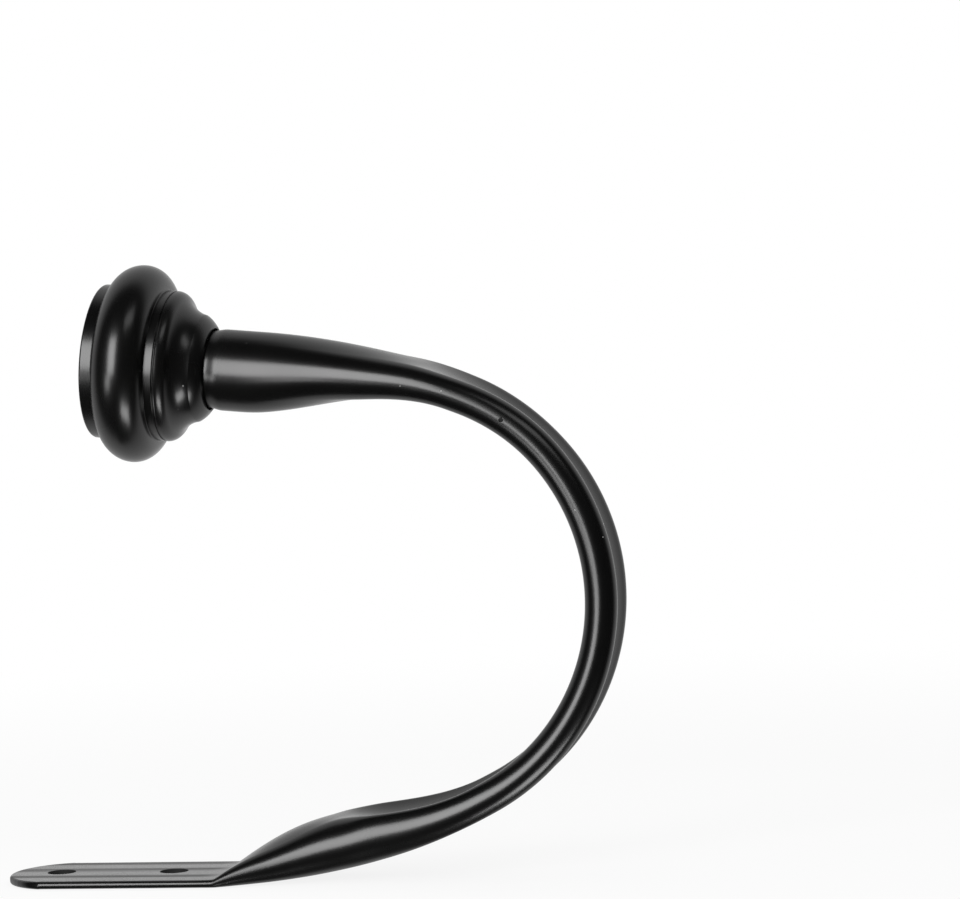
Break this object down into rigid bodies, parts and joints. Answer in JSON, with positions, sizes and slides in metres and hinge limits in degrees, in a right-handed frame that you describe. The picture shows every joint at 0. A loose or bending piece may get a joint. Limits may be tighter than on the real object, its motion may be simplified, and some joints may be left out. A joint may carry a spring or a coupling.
{
  "type": "curtain holdback",
  "caption": "U-shaped wall holdback for a curtain: a formed black tube with a flat screw tab at one end and a turned round finial at the other.",
  "frame": {"origin": "on the wall face of the screw tab, midway between the two screw holes", "axes": "+X along the tab from its tip towards the bend, +Z out of the wall, +Y across the tab; the U lies in the XZ plane and opens towards -X"},
  "size_m": [0.1482, 0.0462, 0.1441],
  "materials": {
    "black_coat": "satin"
  },
  "bodies": {
    "root": {"arm": "black_coat", "finial": "black_coat"}
  },
  "joints": []
}
